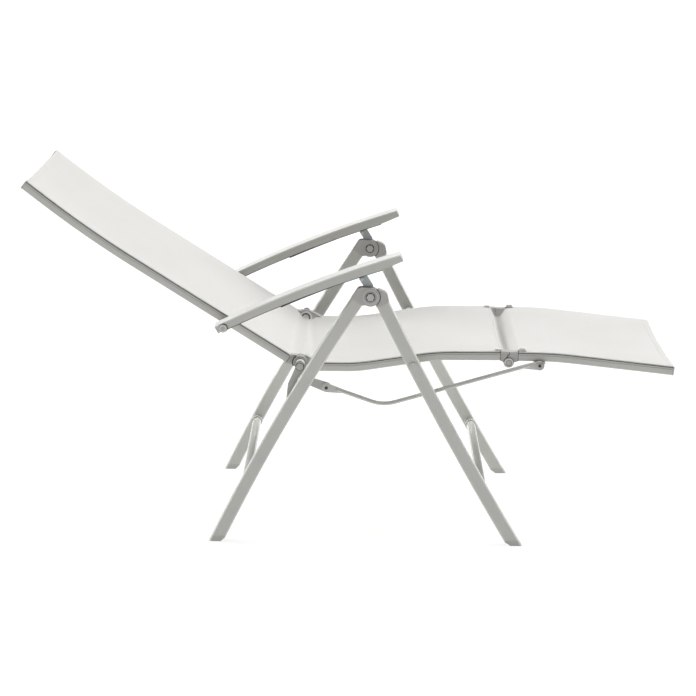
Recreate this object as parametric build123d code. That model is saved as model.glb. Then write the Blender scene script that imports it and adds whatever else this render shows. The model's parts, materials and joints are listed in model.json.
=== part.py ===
from build123d import *
import math
import os

os.makedirs("parts", exist_ok=True)

# Heights are measured from the floor and lengths from the rear feet; the
# whole chair is then moved back by mid_length so that its middle is at X 0.
mid_length = 302.9

# main pivots, seen from the side
leg_hinge_x = 347.0
leg_hinge_z = 583.0
back_hinge_x = 190.0
back_hinge_z = 417.0
seat_pivot_x = 446.0
seat_pivot_z = 425.5
foot_hinge_x = 665.0
foot_hinge_z = 423.0
rod_pin_x = 250.0
rod_pin_z = 359.5
rod_eye_x = 735.0
rod_eye_z = 419.5
arm_pivot_x = 18.0
arm_pivot_z = 508.5
link_end_x = 165.0
link_end_z = 311.0
latch_x = 327.0
latch_z = 624.0

# layers, measured outward from the middle of the chair
rail_in = 207.0
rail_width = 18.0
knuckle_split = 216.0
lever_in = 229.0
lever_thick = 3.0
rod_plate_in = 232.4
rod_plate_thick = 4.0
link_in = 258.0
link_thick = 3.5
leg_in = 262.0
leg_thick = 18.0
arm_in = 248.0
arm_width = 42.0
fin_in = 269.0
fin_thick = 3.0

# clearances
run_gap = 0.05
side_gap = 0.3
slip_gap = 0.3

# rails
rail_height = 21.0
rail_corner = 1.6
rail_wall = 1.5
cord_hole = 6.4
cord_across = 5.0
slot_height = 2.4
cord_rise = 5.4
cord_offset = 4.2
cloth_thick = 1.0
cloth_half = 209.0
tongue_half = 182.0
seat_back_tongue = 35.0
seat_front_tongue = 16.0
back_tongue = 27.0
foot_tongue = 19.0
back_top_tongue = 0.0
back_start_x = 162.0
back_start_z = 424.1
back_knee_x = -290.0
back_knee_z = 706.6
back_end_x = -429.5
back_end_z = 814.3
back_bend = 2400.0
seat_start_x = 232.0
seat_start_z = 406.0
seat_dip_x = 318.0
seat_dip_z = 406.0
seat_rise_x = 500.0
seat_rise_z = 436.0
seat_end_x = 645.6
seat_end_z = 437.8
seat_bend = 300.0
foot_start_x = 686.8
foot_start_z = 437.0
foot_knee_x = 772.0
foot_knee_z = 436.6
foot_end_x = 1038.8
foot_end_z = 409.2
foot_bend = 800.0
end_cap_thick = 4.0
end_cap_plug = 14.0
end_cap_round = 2.0

# legs
leg_width = 30.0
leg_corner = 2.8
leg_wall = 2.0
rear_foot_x = 0.8
rear_mid_x = 161.5
rear_mid_z = 313.0
rear_top_x = 316.5
rear_top_z = 571.5
front_foot_x = 688.6
front_mid_x = 526.4
front_mid_z = 279.6
front_top_x = 375.8
front_top_z = 565.4
foot_cap_height = 13.0
foot_plug = 16.0
foot_toe = 4.0
foot_flat = 10.2
foot_lift = 7.0
foot_reach = 17.6
cross_bar = 22.0
cross_wall = 1.5
rear_bar_x = 67.0
front_bar_x = 611.4
bar_z = 132.0
saddle_across = 27.0
saddle_depth = 12.0
saddle_floor = 3.5

# top hinge of the legs
eye_radius = 21.7
eye_room = 22.3
top_bolt = 10.0
hex_across = 18.0
hex_thick = 5.0
cheek_proud = 1.0
cheek_washer = 17.5
inner_nut = 4.0
elbow_x = 305.5
elbow_z = 592.2
crown_x = 332.4
crown_z = 599.9
brow_x = 372.0
brow_z = 597.0
brow_end_x = 358.0
brow_end_z = 602.4
fin_left_x = 331.0
fin_left_z = 605.5
fin_right_x = 354.0
fin_right_z = 603.0
fin_tip = 7.0
pin_across = 8.0
spigot_long = 22.0

# hinge of back and seat
hinge_bolt = 10.0
hinge_head = 18.0
hinge_head_thick = 3.5
back_eye = 15.5
back_eye_room = 16.0
flange_across = 26.0
flange_thick = 1.7
spacer_across = 21.0
collar_across = 18.4
hinge_cap = 16.6
hinge_cap_thick = 3.0
stop_face = 8.0
neck_drop = 13.0

# hinge of seat and footrest
foot_eye = 11.5
foot_eye_room = 12.0
foot_bolt = 8.0
foot_cap = 22.0
foot_cap_thick = 2.0
foot_boss = 15.0
foot_boss_thick = 1.8
seam_x = 661.0

# lever, rod and link
lever_head = 13.0
lever_end = 11.5
lever_bend_x = 196.0
lever_bend_z = 379.0
lever_bend_round = 8.5
rod_across = 9.5
rod_eye = 10.5
rod_leave_x = 275.0
rod_leave_z = 356.6
rod_low_x = 380.0
rod_low_z = 320.4
rod_bend = 90.0
rod_end_back = 23.0
rod_end_rise = 1.6
rivet_across = 8.0
rivet_hole = 4.0
rivet_head = 13.0
rivet_head_thick = 1.5
link_head = 11.0
link_half = 8.0
link_knee_x = 171.0
link_knee_z = 372.0
bracket_base = 46.0
bracket_rise = 14.0
bracket_eye = 11.0

# spacers and bolts of the leg pivot and of the armrests
pivot_bolt = 6.0
pivot_spacer = 18.0
pivot_head = 18.0
pivot_inner_head = 12.0
pivot_head_thick = 3.0
arm_bolt = 7.0
arm_head = 18.0
arm_head_thick = 3.0
arm_spacer = 16.0

# armrests
arm_tail_x = -1.5
arm_tail_z = 511.5
arm_top_x = 212.0
arm_top_z = 610.0
arm_tip_x = 411.6
arm_tip_z = 682.4
arm_toe_x = 418.7
arm_toe_z = 668.7
arm_under_x = 373.0
arm_under_z = 648.0
arm_low_x = 212.0
arm_low_z = 589.5
arm_heel_x = 7.2
arm_heel_z = 496.8
arm_edge = 2.6
arm_side_wall = 5.5
arm_roof = 5.0
hollow_start_x = 138.0
hollow_end_x = 402.0
rack_end_x = 337.0
rack_show = 1.6
rack_gap = 0.25
notch_half = 5.6
notch_first_x = 219.0
notch_step = 18.0
notch_count = 7
fin_slot = 6.4

# cross tubes of the seat, back and footrest
brace_across = 22.0
brace_tall = 10.0
brace_wall = 1.5
brace_drop = 8.0
seat_brace_back_x = 262.0
seat_brace_front_x = 600.0
back_brace_x = 118.0
back_top_x = -421.0
foot_brace_x = 726.0
foot_last_x = 1030.0
clip_long = 13.0
clip_tall = 10.0
clip_wide = 14.0

washer_thick = 1.2
groove_rise = 4.2
groove_tall = 2.2
groove_deep = 0.7
notch_deep = 4.4
notch_flat = 4.0

# sides of the small turned pieces and of the holes that only fit over a shank
turned_sides = 16
eye_sides = 24
bar_sides = 12
bore_sides = 20
hole_sides = 8
cord_sides = 6


def side(outward):
    """Side view plane of the near side, facing outward."""
    return Plane(origin=(-mid_length, -outward, 0), x_dir=(1, 0, 0), z_dir=(0, -1, 0))


def slab(shape, start, thick):
    return extrude(side(start) * shape, amount=thick)


def disc(x, z, across):
    return Pos(x, z) * Circle(across / 2)


def rod_round(x, z, across, start, end):
    """A true cylinder, for shafts."""
    return slab(disc(x, z, across), start, end - start)


def bore_shape(x, z, shank):
    """Outline of a hole whose flats stand run_gap off the shank that turns in it."""
    across = (shank + run_gap * 2) / math.cos(math.pi / bore_sides)
    return Pos(x, z) * RegularPolygon(across / 2, bore_sides)


def bore(x, z, shank, start, end):
    return slab(bore_shape(x, z, shank), start, end - start)


def rounded(x, z, across, sides):
    """Outline with enough sides to look round."""
    return Pos(x, z) * RegularPolygon(across / 2, sides)


def eye_block(x, z, across, start, end):
    return slab(rounded(x, z, across, eye_sides), start, end - start)


def eye_space(x, z, across, start, end):
    """Room for an eye to turn in; its flats stand outside the given size."""
    return eye_block(x, z, across / math.cos(math.pi / eye_sides), start, end)


def turned(x, z, across, start, end):
    """A small turned piece such as a head, cap or spacer, with few faces."""
    shape = Pos(x, z) * RegularPolygon(across / 2, turned_sides)
    return slab(shape, start, end - start)


def fitted_hole(x, z, shank, start, end):
    """A hole that closes round a fixed shank."""
    across = shank / math.cos(math.pi / hole_sides)
    shape = Pos(x, z) * RegularPolygon(across / 2, hole_sides)
    return slab(shape, start, end - start)


def ring(x, z, across, hole, start, end):
    return turned(x, z, across, start, end) - fitted_hole(x, z, hole, start, end)


def nut(x, z, across, start, end):
    return slab(Pos(x, z) * RegularPolygon(across / 2, 6), start, end - start)


def tube_shape(wide, tall, corner):
    """Section of a tube with broken corners."""
    return chamfer(Rectangle(wide, tall).vertices(), corner)


def taper(x1, z1, r1, x2, z2, r2):
    first = rounded(x1, z1, r1 * 2, turned_sides)
    second = rounded(x2, z2, r2 * 2, turned_sides)
    return make_hull(first.edges() + second.edges())


def shape_of(points):
    return make_face(Polyline(*points, close=True))


def both(*solids):
    found = []
    for body in solids:
        for piece in body.solids():
            found.append(piece)
            found.append(mirror(piece, about=Plane.XZ))
    return found


def save(name, solids):
    group = Compound(children=list(solids))
    group.label = name
    export_step(group, "parts/" + name + ".step")


def path_plane(path, at_share):
    return Plane(origin=path @ at_share, x_dir=(0, 1, 0), z_dir=path % at_share)


def run_along(path, section):
    """A straight or curved bar; the section's X points to the chair's middle."""
    return sweep(path_plane(path, 0) * section, path=path)


def rail_path(points, bend, outward):
    flat = FilletPolyline(*points, radius=bend)
    return side(outward) * flat


def back_points():
    return [(back_start_x, back_start_z), (back_knee_x, back_knee_z),
            (back_end_x, back_end_z)]


def seat_points():
    return [(seat_start_x, seat_start_z), (seat_dip_x, seat_dip_z),
            (seat_rise_x, seat_rise_z), (seat_end_x, seat_end_z)]


def foot_points():
    return [(foot_start_x, foot_start_z), (foot_knee_x, foot_knee_z),
            (foot_end_x, foot_end_z)]


rail_mid = rail_in + rail_width / 2


def rail_outer(up):
    shape = tube_shape(rail_width, rail_height, rail_corner)
    groove = Pos(-rail_width / 2, groove_rise * up) * Rectangle(groove_deep * 2, groove_tall)
    return shape - groove


def rail_pocket(up, less):
    floor = rail_height / 2 - rail_wall
    roof = cord_rise - cord_hole / 2 - rail_wall
    tall = floor + roof - less * 2
    middle = (roof - floor) / 2
    return Pos(0, middle * up) * Rectangle(rail_width - rail_wall * 2 - less * 2, tall)


def cord_groove(up):
    hole = Pos(cord_offset, cord_rise * up) * Rectangle(cord_hole, cord_hole)
    reach = rail_width / 2 - cord_offset
    mouth = Pos(cord_offset + reach / 2, cord_rise * up) * Rectangle(reach, slot_height)
    return hole + mouth


def rail_solid(points, bend, up):
    path = rail_path(points, bend, rail_mid)
    section = rail_outer(up) - rail_pocket(up, 0) - cord_groove(up)
    return run_along(path, section)


def cord_solid(points, bend, up):
    path = rail_path(points, bend, rail_mid)
    section = Pos(cord_offset, cord_rise * up) * RegularPolygon(cord_across / 2, cord_sides)
    return run_along(path, section)


def cloth_solid(points, bend, up, tongues):
    """Cloth between the rails; tongues gives its reach past the start and the end."""
    flat = FilletPolyline(*points, radius=bend)
    path = side(0) * flat
    section = Pos(0, cord_rise * up) * Rectangle(cloth_half * 2, cloth_thick)
    cloth = run_along(path, section)
    narrow = Pos(0, cord_rise * up) * Rectangle(tongue_half * 2, cloth_thick)
    if tongues[0]:
        cloth = cloth + extrude(path_plane(path, 0) * narrow, amount=-tongues[0])
    if tongues[1]:
        cloth = cloth + extrude(path_plane(path, 1) * narrow, amount=tongues[1])
    return cloth.solid()


def drill(body, x, z, shank):
    return body - bore(x, z, shank, rail_in, arm_in + arm_width)


def leg_path(foot_x, mid_x, mid_z, top_x, top_z):
    flat = ThreePointArc((foot_x, 0), (mid_x, mid_z), (top_x, top_z))
    return side(leg_in + leg_thick / 2) * flat


def below(height):
    block = Box(leg_width * 3, leg_width * 3, leg_width * 2)
    return Pos(0, -leg_in, height - leg_width) * block


def leg_section(inset):
    """Square-cornered outline of what lies that far inside the leg tube."""
    return Rectangle(leg_thick - inset * 2, leg_width - inset * 2)


def leg_parts(foot_x, mid_x, mid_z, top_x, top_z):
    inward = math.copysign(1, top_x - foot_x)
    path = leg_path(foot_x, mid_x, mid_z, top_x, top_z)
    start = path_plane(path, 0)
    outer = tube_shape(leg_thick, leg_width, leg_corner)
    inner = leg_section(leg_wall)
    plug_shape = leg_section(leg_wall + slip_gap)
    shift = Pos(foot_x - mid_length, 0, 0)
    tube = run_along(path, outer - inner) - shift * below(foot_cap_height)
    straight = extrude(start * outer, amount=leg_width, both=True)
    cap = (straight & (shift * below(foot_cap_height))) - shift * below(0)
    edge = shape_of([(foot_x + inward * foot_flat, 0), (foot_x + inward * foot_reach, foot_lift),
                     (foot_x + inward * foot_reach * 2, 0)])
    cap = cap - slab(edge, leg_in, leg_thick)
    plug = extrude(start * plug_shape, amount=leg_width * 2)
    plug = plug & (shift * below(foot_cap_height + foot_plug))
    return tube, cap + (plug - shift * below(foot_toe))


def make_rear_legs():
    tube, cap = leg_parts(rear_foot_x, rear_mid_x, rear_mid_z, rear_top_x, rear_top_z)
    save("rear_legs", both(tube))
    save("rear_foot_caps", both(cap))


def make_front_legs():
    tube, cap = leg_parts(front_foot_x, front_mid_x, front_mid_z,
                          front_top_x, front_top_z)
    tube = drill(tube, seat_pivot_x, seat_pivot_z, pivot_bolt)
    save("front_legs", both(tube))
    save("front_foot_caps", both(cap))


def make_cross_bar(name, x):
    tube_end = leg_in - saddle_floor
    tube = turned(x, bar_z, cross_bar, -tube_end, tube_end)
    tube = tube - turned(x, bar_z, cross_bar - cross_wall * 2, -tube_end, tube_end)
    save(name + "_crossbar", tube.solids())
    cup = turned(x, bar_z, saddle_across, leg_in - saddle_depth, leg_in)
    cup = cup - turned(x, bar_z, cross_bar, leg_in - saddle_depth, tube_end)
    save(name + "_crossbar_cups", both(cup))


def spigot(x, z, along):
    """Plug of a casting inside the end of a leg tube."""
    start = Plane(origin=(x - mid_length, -leg_in - leg_thick / 2, z),
                  x_dir=(0, 1, 0), z_dir=along)
    return extrude(start * leg_section(leg_wall + slip_gap), amount=spigot_long)


def make_rear_top_knuckles():
    along = leg_path(rear_foot_x, rear_mid_x, rear_mid_z, rear_top_x, rear_top_z) % 1
    side_x = -along.Z * leg_width / 2
    side_z = along.X * leg_width / 2
    left = (rear_top_x + side_x, rear_top_z + side_z)
    right = (rear_top_x - side_x, rear_top_z - side_z)
    neck = shape_of([left, (elbow_x, elbow_z), (crown_x, crown_z),
                     (leg_hinge_x, leg_hinge_z), right])
    body = slab(neck, leg_in, leg_thick)
    room = eye_space(leg_hinge_x, leg_hinge_z, eye_room * 2, leg_in, leg_in + leg_thick)
    eye = eye_block(leg_hinge_x, leg_hinge_z, eye_radius * 2, leg_in, fin_in - side_gap)
    body = (body - room) + eye
    inner = slab(neck, leg_in, fin_in - side_gap - leg_in)
    body = body + inner + spigot(rear_top_x, rear_top_z, -along)
    body = body - bore(leg_hinge_x, leg_hinge_z, top_bolt, leg_in, leg_in + leg_thick)
    save("rear_top_knuckles", both(body))


def make_front_top_knuckles():
    along = leg_path(front_foot_x, front_mid_x, front_mid_z, front_top_x, front_top_z) % 1
    side_x = -along.Z * leg_width / 2
    side_z = along.X * leg_width / 2
    left = (front_top_x + side_x, front_top_z + side_z)
    right = (front_top_x - side_x, front_top_z - side_z)
    neck = shape_of([left, (leg_hinge_x, leg_hinge_z), (brow_end_x, brow_end_z),
                     (brow_x, brow_z), right])
    eye_in = fin_in + fin_thick
    eye_out = leg_in + leg_thick + cheek_proud
    body = slab(neck, leg_in, leg_thick)
    body = body - eye_space(leg_hinge_x, leg_hinge_z, eye_room * 2, leg_in, eye_in)
    body = body + eye_block(leg_hinge_x, leg_hinge_z, eye_radius * 2, eye_in, eye_out)
    body = body + spigot(front_top_x, front_top_z, -along)
    body = body - fitted_hole(leg_hinge_x, leg_hinge_z, top_bolt, leg_in, eye_out)
    body = body - fin_solid()
    save("front_top_knuckles", both(body))


def fin_solid():
    disc_part = rounded(leg_hinge_x, leg_hinge_z, eye_radius * 2, eye_sides)
    blade = shape_of([(leg_hinge_x, leg_hinge_z), (fin_right_x, fin_right_z),
                      (latch_x + fin_tip, latch_z), (latch_x - fin_tip, latch_z),
                      (fin_left_x, fin_left_z)])
    tip = rounded(latch_x, latch_z, fin_tip * 2, turned_sides)
    plate = slab(disc_part + blade + tip, fin_in, fin_thick)
    end = fin_in + fin_thick
    plate = plate - fitted_hole(leg_hinge_x, leg_hinge_z, top_bolt, fin_in, end)
    return plate - fitted_hole(latch_x, latch_z, pin_across, fin_in, end)


def make_latch():
    save("latch_brackets", both(fin_solid()))
    pin = rod_round(latch_x, latch_z, pin_across, arm_in + arm_side_wall + side_gap * 2,
                    arm_in + arm_width - arm_side_wall - side_gap * 2)
    save("latch_pins", both(pin))


def make_top_bolts():
    outer = leg_in + leg_thick + cheek_proud
    shank = rod_round(leg_hinge_x, leg_hinge_z, top_bolt, leg_in - inner_nut, outer)
    washer = turned(leg_hinge_x, leg_hinge_z, cheek_washer * 2, outer, outer + washer_thick)
    head = nut(leg_hinge_x, leg_hinge_z, hex_across, outer + washer_thick, outer + hex_thick)
    inner = nut(leg_hinge_x, leg_hinge_z, hex_across, leg_in - inner_nut, leg_in - side_gap)
    save("leg_hinge_bolts", both(shank + washer + head + inner))


def rail_end(x, z, way_x, way_z):
    """Corner points and plug of a rail that ends at x, z and runs on by way."""
    length = math.hypot(way_x, way_z)
    ux = way_x / length
    uz = way_z / length
    high = (x - uz * rail_height / 2, z + ux * rail_height / 2)
    low = (x + uz * rail_height / 2, z - ux * rail_height / 2)
    return high, low, ux, uz


def rail_plug(x, z, ux, uz, up, long):
    floor = rail_height / 2 - rail_wall - slip_gap
    roof = cord_rise - cord_hole / 2 - rail_wall - slip_gap
    turn = math.degrees(math.atan2(uz, ux))
    bar = Pos(long / 2, (roof - floor) / 2 * up) * Rectangle(long, roof + floor)
    wide = rail_width - rail_wall * 2 - slip_gap * 2
    return slab(Pos(x, z) * Rot(0, 0, turn) * bar, rail_in + rail_wall + slip_gap, wide)


def make_back_knuckles():
    way_x = back_knee_x - back_start_x
    way_z = back_knee_z - back_start_z
    low, high, ux, uz = rail_end(back_start_x, back_start_z, way_x, way_z)
    neck = shape_of([high, low, (back_hinge_x - lever_head, back_hinge_z - stop_face),
                     (back_hinge_x, back_hinge_z),
                     (back_hinge_x - stop_face, back_hinge_z + back_eye)])
    room = eye_space(back_hinge_x, back_hinge_z, back_eye_room * 2, rail_in, knuckle_split)
    body = slab(neck, rail_in, rail_width) - room
    body = body + eye_block(back_hinge_x, back_hinge_z, back_eye * 2,
                            knuckle_split + side_gap, lever_in)
    body = body + rail_plug(back_start_x, back_start_z, ux, uz, -1, spigot_long)
    bottom = knuckle_split - side_gap
    body = body - eye_space(back_hinge_x, back_hinge_z, back_eye_room * 2, rail_in,
                            knuckle_split + side_gap)
    body = body - bore(back_hinge_x, back_hinge_z, hinge_bolt, bottom, lever_in)
    save("back_knuckles", both(body))


def make_seat_rear_knuckles():
    way_x = seat_dip_x - seat_start_x
    way_z = seat_dip_z - seat_start_z
    high, low, ux, uz = rail_end(seat_start_x, seat_start_z, way_x, way_z)
    neck = shape_of([high, (back_hinge_x + neck_drop, back_hinge_z + back_eye),
                     (back_hinge_x, back_hinge_z),
                     (back_hinge_x + stop_face, back_hinge_z - back_eye),
                     (seat_start_x - neck_drop, low[1]), low])
    body = slab(neck, rail_in, rail_width)
    body = body - eye_space(back_hinge_x, back_hinge_z, back_eye_room * 2,
                            knuckle_split, rail_in + rail_width)
    body = body + eye_block(back_hinge_x, back_hinge_z, back_eye * 2, rail_in,
                            knuckle_split)
    body = body + rail_plug(seat_start_x, seat_start_z, ux, uz, 1, spigot_long)
    body = body - fitted_hole(back_hinge_x, back_hinge_z, hinge_bolt, rail_in,
                              rail_in + rail_width)
    save("seat_rear_knuckles", both(body))


def make_seat_front_knuckles():
    way_x = seat_rise_x - seat_end_x
    way_z = seat_rise_z - seat_end_z
    low, high, ux, uz = rail_end(seat_end_x, seat_end_z, way_x, way_z)
    neck = shape_of([high, low, (foot_hinge_x - foot_eye, foot_hinge_z),
                     (foot_hinge_x, foot_hinge_z), (seam_x, foot_hinge_z + foot_eye),
                     (seam_x + side_gap, high[1])])
    body = slab(neck, rail_in, rail_width)
    body = body - eye_space(foot_hinge_x, foot_hinge_z, foot_eye_room * 2,
                            knuckle_split, rail_in + rail_width)
    body = body + eye_block(foot_hinge_x, foot_hinge_z, foot_eye * 2, rail_in,
                            knuckle_split)
    body = body + rail_plug(seat_end_x, seat_end_z, ux, uz, -1, spigot_long)
    body = body - fitted_hole(foot_hinge_x, foot_hinge_z, foot_bolt, rail_in,
                              rail_in + rail_width)
    save("seat_front_knuckles", both(body))


def make_footrest_knuckles():
    way_x = foot_knee_x - foot_start_x
    way_z = foot_knee_z - foot_start_z
    high, low, ux, uz = rail_end(foot_start_x, foot_start_z, way_x, way_z)
    neck = shape_of([high, (seam_x + side_gap * 3, high[1]),
                     (seam_x + side_gap * 3, foot_hinge_z + foot_eye),
                     (foot_hinge_x, foot_hinge_z), (foot_hinge_x + foot_eye, foot_hinge_z),
                     low])
    outer = rail_in + rail_width
    body = slab(neck, rail_in, rail_width)
    body = body - eye_space(foot_hinge_x, foot_hinge_z, foot_eye_room * 2, rail_in,
                            knuckle_split + side_gap)
    body = body + eye_block(foot_hinge_x, foot_hinge_z, foot_eye * 2,
                            knuckle_split + side_gap, outer)
    body = body + rail_plug(foot_start_x, foot_start_z, ux, uz, 1, spigot_long)
    body = body - bore(foot_hinge_x, foot_hinge_z, foot_bolt, rail_in, outer)
    save("footrest_knuckles", both(body))


def make_hinge_hardware():
    start = rail_in - hinge_head_thick
    cap_in = leg_in + leg_thick / 2 - washer_thick
    shank = rod_round(back_hinge_x, back_hinge_z, hinge_bolt, start, cap_in)
    head = nut(back_hinge_x, back_hinge_z, hinge_head, start, rail_in)
    save("back_hinge_bolts", both(shank + head))
    lever_out = lever_in + lever_thick + side_gap
    flange = ring(back_hinge_x, back_hinge_z, flange_across, hinge_bolt, lever_out,
                  lever_out + flange_thick)
    tube = ring(back_hinge_x, back_hinge_z, spacer_across, hinge_bolt,
                lever_out + flange_thick, link_in - side_gap)
    save("back_hinge_spacers", both(flange + tube))
    outer = ring(back_hinge_x, back_hinge_z, collar_across, hinge_bolt,
                 link_in + link_thick + side_gap, cap_in)
    save("link_stop_collars", both(outer))
    cap = turned(back_hinge_x, back_hinge_z, hinge_cap, cap_in, cap_in + hinge_cap_thick)
    save("back_hinge_caps", both(cap))
    outer_face = rail_in + rail_width + side_gap
    pin = rod_round(foot_hinge_x, foot_hinge_z, foot_bolt, rail_in - foot_cap_thick, outer_face)
    inner = nut(foot_hinge_x, foot_hinge_z, foot_boss, rail_in - foot_cap_thick, rail_in)
    plate = turned(foot_hinge_x, foot_hinge_z, foot_cap, outer_face,
                   outer_face + foot_cap_thick)
    boss = turned(foot_hinge_x, foot_hinge_z, foot_boss, outer_face + foot_cap_thick,
                  outer_face + foot_cap_thick + foot_boss_thick)
    save("footrest_hinge_pins", both(pin + inner + plate + boss))


def make_levers():
    head = rounded(back_hinge_x, back_hinge_z, lever_head * 2, turned_sides)
    drop = taper(back_hinge_x, back_hinge_z, lever_head,
                 lever_bend_x, lever_bend_z, lever_bend_round)
    arm = taper(lever_bend_x, lever_bend_z, lever_bend_round,
                rod_pin_x, rod_pin_z, lever_end)
    holes = bore_shape(back_hinge_x, back_hinge_z, hinge_bolt)
    plate = slab(head + drop + arm - holes, lever_in, lever_thick)
    plate = plate - fitted_hole(rod_pin_x, rod_pin_z, rivet_across, lever_in,
                                lever_in + lever_thick)
    save("lever_plates", both(plate))
    rivet_in = lever_in - rivet_head_thick
    rivet_out = rod_plate_in + rod_plate_thick + side_gap
    rivet = rod_round(rod_pin_x, rod_pin_z, rivet_across, rivet_in, rivet_out)
    rivet = rivet + turned(rod_pin_x, rod_pin_z, rivet_head, rivet_in, lever_in)
    rivet = rivet + turned(rod_pin_x, rod_pin_z, rivet_head, rivet_out,
                           rivet_out + rivet_head_thick)
    rivet = rivet - nut(rod_pin_x, rod_pin_z, rivet_hole, lever_in,
                        rivet_out + rivet_head_thick)
    save("lever_rivets", both(rivet))


def make_rods():
    rod_reach_x = rod_eye_x - rod_end_back
    rod_reach_z = rod_eye_z + rod_end_rise
    middle = rod_plate_in + slip_gap / 2 + rod_across / 2
    flat = FilletPolyline((rod_leave_x, rod_leave_z), (rod_low_x, rod_low_z),
                          (rod_reach_x, rod_reach_z), radius=rod_bend)
    bar = run_along(side(middle) * flat, RegularPolygon(rod_across / 2, bar_sides))
    near = taper(rod_pin_x, rod_pin_z, rod_eye, rod_leave_x + rod_eye,
                 rod_leave_z - rod_across / 2, rod_across / 2)
    far = taper(rod_eye_x, rod_eye_z, rod_eye, rod_reach_x - rod_eye,
                rod_reach_z - rod_across / 2, rod_across / 2)
    slot = taper(rod_eye_x - rivet_across / 2, rod_eye_z, rivet_across / 2,
                 rod_eye_x + rivet_across / 2, rod_eye_z, rivet_across / 2)
    plates = slab(near + (far - slot), rod_plate_in, rod_plate_thick)
    hole = bore(rod_pin_x, rod_pin_z, rivet_across, lever_in, arm_in)
    save("bent_rods", both(bar + plates - hole))


def make_links():
    head = rounded(back_hinge_x, back_hinge_z, link_head * 2, turned_sides)
    upper = taper(back_hinge_x, back_hinge_z, link_half, link_knee_x, link_knee_z, link_half)
    lower = taper(link_knee_x, link_knee_z, link_half, link_end_x, link_end_z, link_half)
    hole = bore_shape(back_hinge_x, back_hinge_z, hinge_bolt)
    plate = slab(head + upper + lower - hole, link_in, link_thick)
    rivet = turned(link_end_x, link_end_z, rivet_head, link_in - rivet_head_thick, link_in)
    save("link_plates", both(plate))
    save("link_rivets", both(rivet))


def make_rod_brackets():
    outer = rail_in + rail_width
    base_z = rod_eye_z + rail_height * 3 / 4
    base = Pos(rod_eye_x, base_z) * Rectangle(bracket_base, bracket_rise)
    drop = taper(rod_eye_x, rod_eye_z, bracket_eye, rod_eye_x, base_z, bracket_eye)
    foot = slab(base, outer, lever_in - outer)
    blade = slab(base + drop, lever_in, lever_thick)
    save("rod_brackets", both(foot + blade))
    start = lever_in - rivet_head_thick
    stud = turned(rod_eye_x, rod_eye_z, rivet_head, start, lever_in)
    save("rod_bracket_rivets", both(stud))


def make_leg_pivots():
    start = rail_in - pivot_head_thick
    outer = leg_in + leg_thick + side_gap
    bolt = rod_round(seat_pivot_x, seat_pivot_z, pivot_bolt, start, outer)
    bolt = bolt + nut(seat_pivot_x, seat_pivot_z, pivot_inner_head, start, rail_in)
    bolt = bolt + turned(seat_pivot_x, seat_pivot_z, pivot_head, outer,
                         outer + pivot_head_thick)
    save("leg_pivot_bolts", both(bolt))
    collar = ring(seat_pivot_x, seat_pivot_z, pivot_spacer, pivot_bolt,
                  rail_in + rail_width, leg_in - side_gap)
    save("leg_pivot_spacers", both(collar))


def make_rails():
    seat = rail_solid(seat_points(), seat_bend, 1)
    seat = seat - fitted_hole(seat_pivot_x, seat_pivot_z, pivot_bolt, rail_in,
                              rail_in + rail_width)
    save("seat_rails", both(seat))
    back = rail_solid(back_points(), back_bend, -1)
    back = back - fitted_hole(arm_pivot_x, arm_pivot_z, arm_bolt, rail_in,
                              rail_in + rail_width)
    save("back_rails", both(back))
    save("footrest_rails", both(rail_solid(foot_points(), foot_bend, 1)))
    save("seat_edge_cords", both(cord_solid(seat_points(), seat_bend, 1)))
    save("back_edge_cords", both(cord_solid(back_points(), back_bend, -1)))
    save("footrest_edge_cords", both(cord_solid(foot_points(), foot_bend, 1)))


def make_cloth():
    seat = cloth_solid(seat_points(), seat_bend, 1, (seat_back_tongue, seat_front_tongue))
    save("seat_fabric", [seat])
    back = cloth_solid(back_points(), back_bend, -1, (back_tongue, back_top_tongue))
    save("back_fabric", [back])
    foot = cloth_solid(foot_points(), foot_bend, 1, (foot_tongue, back_top_tongue))
    save("footrest_fabric", [foot])


def end_cap(x, z, way_x, way_z, up):
    """Plastic cap on a rail's open end; way points back into the rail."""
    length = math.hypot(way_x, way_z)
    ux = way_x / length
    uz = way_z / length
    turn = math.degrees(math.atan2(uz, ux))
    at = Pos(x, z) * Rot(0, 0, turn)
    flat = at * (Pos(-end_cap_thick / 2, 0) * Rectangle(end_cap_thick, rail_height))
    lid = slab(flat, rail_in, rail_width)
    face_edges = lid.edges().filter_by(Axis.Y)
    lid = chamfer(face_edges.sort_by_distance(lid.center() - Vector(ux, 0, uz) * rail_height)[:2],
                 end_cap_round)
    return lid + rail_plug(x, z, ux, uz, up, end_cap_plug)


def make_end_caps():
    way_x = back_knee_x - back_end_x
    way_z = back_knee_z - back_end_z
    save("back_end_caps", both(end_cap(back_end_x, back_end_z, way_x, way_z, 1)))
    way_x = foot_knee_x - foot_end_x
    way_z = foot_knee_z - foot_end_z
    save("footrest_end_caps", both(end_cap(foot_end_x, foot_end_z, way_x, way_z, -1)))


def place_under(points, x):
    """Place under the cloth at X, turned to the slope of the rails."""
    for first, second in zip(points, points[1:]):
        low, high = sorted([first, second])
        if low[0] <= x <= high[0]:
            slope = (high[1] - low[1]) / (high[0] - low[0])
            z = low[1] + slope * (x - low[0])
    turn = math.degrees(math.atan(slope))
    down = cord_rise - cloth_thick / 2 - brace_drop - brace_tall / 2
    return Pos(x, z) * Rot(0, 0, turn) * Pos(0, down)


def brace(points, x):
    """Flat tube between the rails, low enough for the cloth to sag over it."""
    shape = tube_shape(brace_across, brace_tall, rail_corner)
    hollow = Rectangle(brace_across - brace_wall * 2, brace_tall - brace_wall * 2)
    placed = place_under(points, x) * (shape - hollow)
    return slab(placed, -rail_in, rail_in * 2).solid()


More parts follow.
